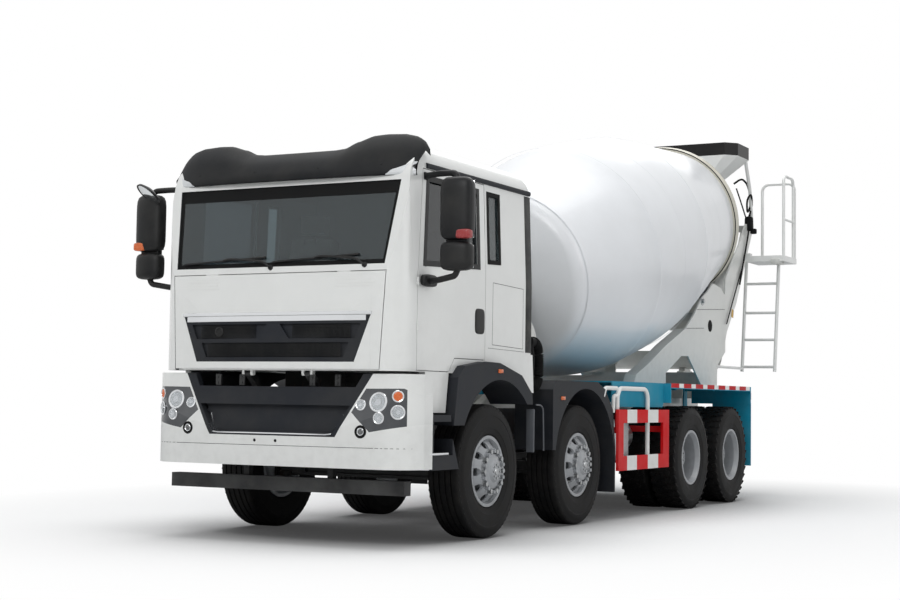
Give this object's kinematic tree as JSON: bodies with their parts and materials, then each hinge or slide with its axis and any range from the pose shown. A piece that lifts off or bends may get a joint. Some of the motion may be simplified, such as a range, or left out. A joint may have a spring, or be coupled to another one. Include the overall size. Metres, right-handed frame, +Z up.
{
  "type": "concrete mixer truck",
  "caption": "Four-axle cab-over lorry with a tilted rotating concrete drum, feed hopper, swinging discharge chute, tilting cab, opening doors and steered front axles.",
  "frame": {"origin": "on the ground under the middle of the truck's length and width", "axes": "+X to the truck's left, +Y towards its rear, +Z up"},
  "size_m": [3.17, 10.14, 4.4298],
  "materials": {
    "white_paint": "gloss white two-pack paint",
    "cream_paint": "semi-gloss off-white paint",
    "teal_paint": "gloss blue-green paint",
    "guard_paint": "red paint with white bands",
    "frame_paint": "semi-gloss black chassis paint",
    "dark_plastic": "matt moulded plastic",
    "black_plastic": "matt moulded plastic",
    "clear_glass": "laminated glass",
    "lamp": "clear polycarbonate over bright reflectors",
    "rubber": "moulded tread rubber",
    "rim_silver": "silver painted steel",
    "cast_part": "painted cast iron",
    "drum_white": "gloss white paint",
    "ring_steel": "worn beige paint and steel",
    "roller_steel": "turned steel",
    "seat_cloth": "woven seat cloth",
    "dash_plastic": "grained plastic",
    "tank_metal": "brushed aluminium"
  },
  "bodies": {
    "chassis": {"chassis_frame": "frame_paint", "front_suspension": "frame_paint", "rear_suspension": "frame_paint", "engine_block": "cast_part", "front_bumper": "white_paint", "lower_grille": "dark_plastic", "headlamps": "lamp", "steps_and_wings": "dark_plastic", "rear_wings": "teal_paint", "side_guards": "guard_paint", "side_tanks": "tank_metal", "mixer_subframe": "cream_paint", "drum_gearbox": "cast_part", "rear_pedestal": "cream_paint", "feed_hopper": "white_paint", "access_ladder": "white_paint", "water_tank": "cream_paint"},
    "cab": {"cab_floor": "white_paint", "cab_front": "white_paint", "cab_shell": "white_paint", "cab_roof": "white_paint", "cab_glass": "clear_glass", "wheel_arch_flares": "dark_plastic", "roof_visor": "dark_plastic", "dashboard": "dash_plastic", "seats": "seat_cloth"},
    "left_door": {"door_left": "white_paint", "door_glass_left": "clear_glass", "mirrors_left": "black_plastic"},
    "right_door": {"door_right": "white_paint", "door_glass_right": "clear_glass", "mirrors_right": "black_plastic"},
    "front_panel": {"front_lid": "white_paint", "upper_grille": "dark_plastic"},
    "drum": {"drum_shell": "drum_white", "roller_ring": "ring_steel"},
    "left_roller": {"support_roller_left": "roller_steel"},
    "right_roller": {"support_roller_right": "roller_steel"},
    "chute_turntable": {"chute_swivel": "cream_paint"},
    "chute": {"main_chute": "cream_paint"},
    "first_left_knuckle": {"knuckle_first_left": "cast_part"},
    "first_left_wheel": {"tyre_first_left": "rubber", "rim_first_left": "rim_silver"},
    "first_right_knuckle": {"knuckle_first_right": "cast_part"},
    "first_right_wheel": {"tyre_first_right": "rubber", "rim_first_right": "rim_silver"},
    "second_left_knuckle": {"knuckle_second_left": "cast_part"},
    "second_left_wheel": {"tyre_second_left": "rubber", "rim_second_left": "rim_silver"},
    "second_right_knuckle": {"knuckle_second_right": "cast_part"},
    "second_right_wheel": {"tyre_second_right": "rubber", "rim_second_right": "rim_silver"},
    "third_left_wheels": {"tyres_third_left": "rubber", "rims_third_left": "rim_silver"},
    "third_right_wheels": {"tyres_third_right": "rubber", "rims_third_right": "rim_silver"},
    "fourth_left_wheels": {"tyres_fourth_left": "rubber", "rims_fourth_left": "rim_silver"},
    "fourth_right_wheels": {"tyres_fourth_right": "rubber", "rims_fourth_right": "rim_silver"}
  },
  "joints": [
    {"name": "cab_tilt", "type": "hinge", "parent": "chassis", "child": "cab", "pos_m": [0, -4.972, 1.318], "axis": [1, 0, 0], "range_deg": [0, 50]},
    {"name": "left_door_hinge", "type": "hinge", "parent": "cab", "child": "left_door", "pos_m": [1.146, -4.802, 2.1], "axis": [0, 0, -1], "range_deg": [0, 70]},
    {"name": "right_door_hinge", "type": "hinge", "parent": "cab", "child": "right_door", "pos_m": [-1.146, -4.802, 2.1], "axis": [0, 0, 1], "range_deg": [0, 70]},
    {"name": "front_panel_hinge", "type": "hinge", "parent": "cab", "child": "front_panel", "pos_m": [0, -5.02, 2.0978], "axis": [-1, 0, 0], "range_deg": [0, 75]},
    {"name": "drum_spin", "type": "hinge", "parent": "chassis", "child": "drum", "pos_m": [0, 3.51, 3.38], "axis": [0, 0.9736, 0.2284], "continuous": true},
    {"name": "left_roller_spin", "type": "hinge", "parent": "chassis", "child": "left_roller", "pos_m": [0.54025, 3.72368, 2.46898], "axis": [0, 0.9736, 0.2284], "continuous": true},
    {"name": "right_roller_spin", "type": "hinge", "parent": "chassis", "child": "right_roller", "pos_m": [-0.54025, 3.72368, 2.46898], "axis": [0, 0.9736, 0.2284], "continuous": true},
    {"name": "chute_swing", "type": "hinge", "parent": "chassis", "child": "chute_turntable", "pos_m": [0, 4.3, 1.345], "axis": [0, 0, -1], "range_deg": [-10, 130]},
    {"name": "chute_lift", "type": "hinge", "parent": "chute_turntable", "child": "chute", "pos_m": [0, 4.3, 1.48], "axis": [0, 1, 0], "range_deg": [-35, 10]},
    {"name": "steer_first_left", "type": "hinge", "parent": "chassis", "child": "first_left_knuckle", "pos_m": [0.845, -3.58, 0.55], "axis": [0, 0, 1], "range_deg": [-35, 35]},
    {"name": "spin_first_left", "type": "hinge", "parent": "first_left_knuckle", "child": "first_left_wheel", "pos_m": [1.011, -3.58, 0.55], "axis": [1, 0, 0], "continuous": true},
    {"name": "steer_first_right", "type": "hinge", "parent": "chassis", "child": "first_right_knuckle", "pos_m": [-0.845, -3.58, 0.55], "axis": [0, 0, 1], "range_deg": [-35, 35]},
    {"name": "spin_first_right", "type": "hinge", "parent": "first_right_knuckle", "child": "first_right_wheel", "pos_m": [-1.011, -3.58, 0.55], "axis": [1, 0, 0], "continuous": true},
    {"name": "steer_second_left", "type": "hinge", "parent": "chassis", "child": "second_left_knuckle", "pos_m": [0.845, -1.75, 0.55], "axis": [0, 0, 1], "range_deg": [-23.1, 23.1]},
    {"name": "spin_second_left", "type": "hinge", "parent": "second_left_knuckle", "child": "second_left_wheel", "pos_m": [1.011, -1.75, 0.55], "axis": [1, 0, 0], "continuous": true},
    {"name": "steer_second_right", "type": "hinge", "parent": "chassis", "child": "second_right_knuckle", "pos_m": [-0.845, -1.75, 0.55], "axis": [0, 0, 1], "range_deg": [-23.1, 23.1]},
    {"name": "spin_second_right", "type": "hinge", "parent": "second_right_knuckle", "child": "second_right_wheel", "pos_m": [-1.011, -1.75, 0.55], "axis": [1, 0, 0], "continuous": true},
    {"name": "spin_third_left", "type": "hinge", "parent": "chassis", "child": "third_left_wheels", "pos_m": [0.915, 1.12, 0.55], "axis": [1, 0, 0], "continuous": true},
    {"name": "spin_third_right", "type": "hinge", "parent": "chassis", "child": "third_right_wheels", "pos_m": [-0.915, 1.12, 0.55], "axis": [1, 0, 0], "continuous": true},
    {"name": "spin_fourth_left", "type": "hinge", "parent": "chassis", "child": "fourth_left_wheels", "pos_m": [0.915, 2.47, 0.55], "axis": [1, 0, 0], "continuous": true},
    {"name": "spin_fourth_right", "type": "hinge", "parent": "chassis", "child": "fourth_right_wheels", "pos_m": [-0.915, 2.47, 0.55], "axis": [1, 0, 0], "continuous": true}
  ],
  "couplings": [
    {"joint": "left_roller_spin", "follows": "drum_spin", "ratio": -7.64},
    {"joint": "right_roller_spin", "follows": "drum_spin", "ratio": -7.64},
    {"joint": "steer_first_right", "follows": "steer_first_left", "ratio": 1},
    {"joint": "steer_second_left", "follows": "steer_first_left", "ratio": 0.66},
    {"joint": "steer_second_right", "follows": "steer_first_left", "ratio": 0.66}
  ]
}
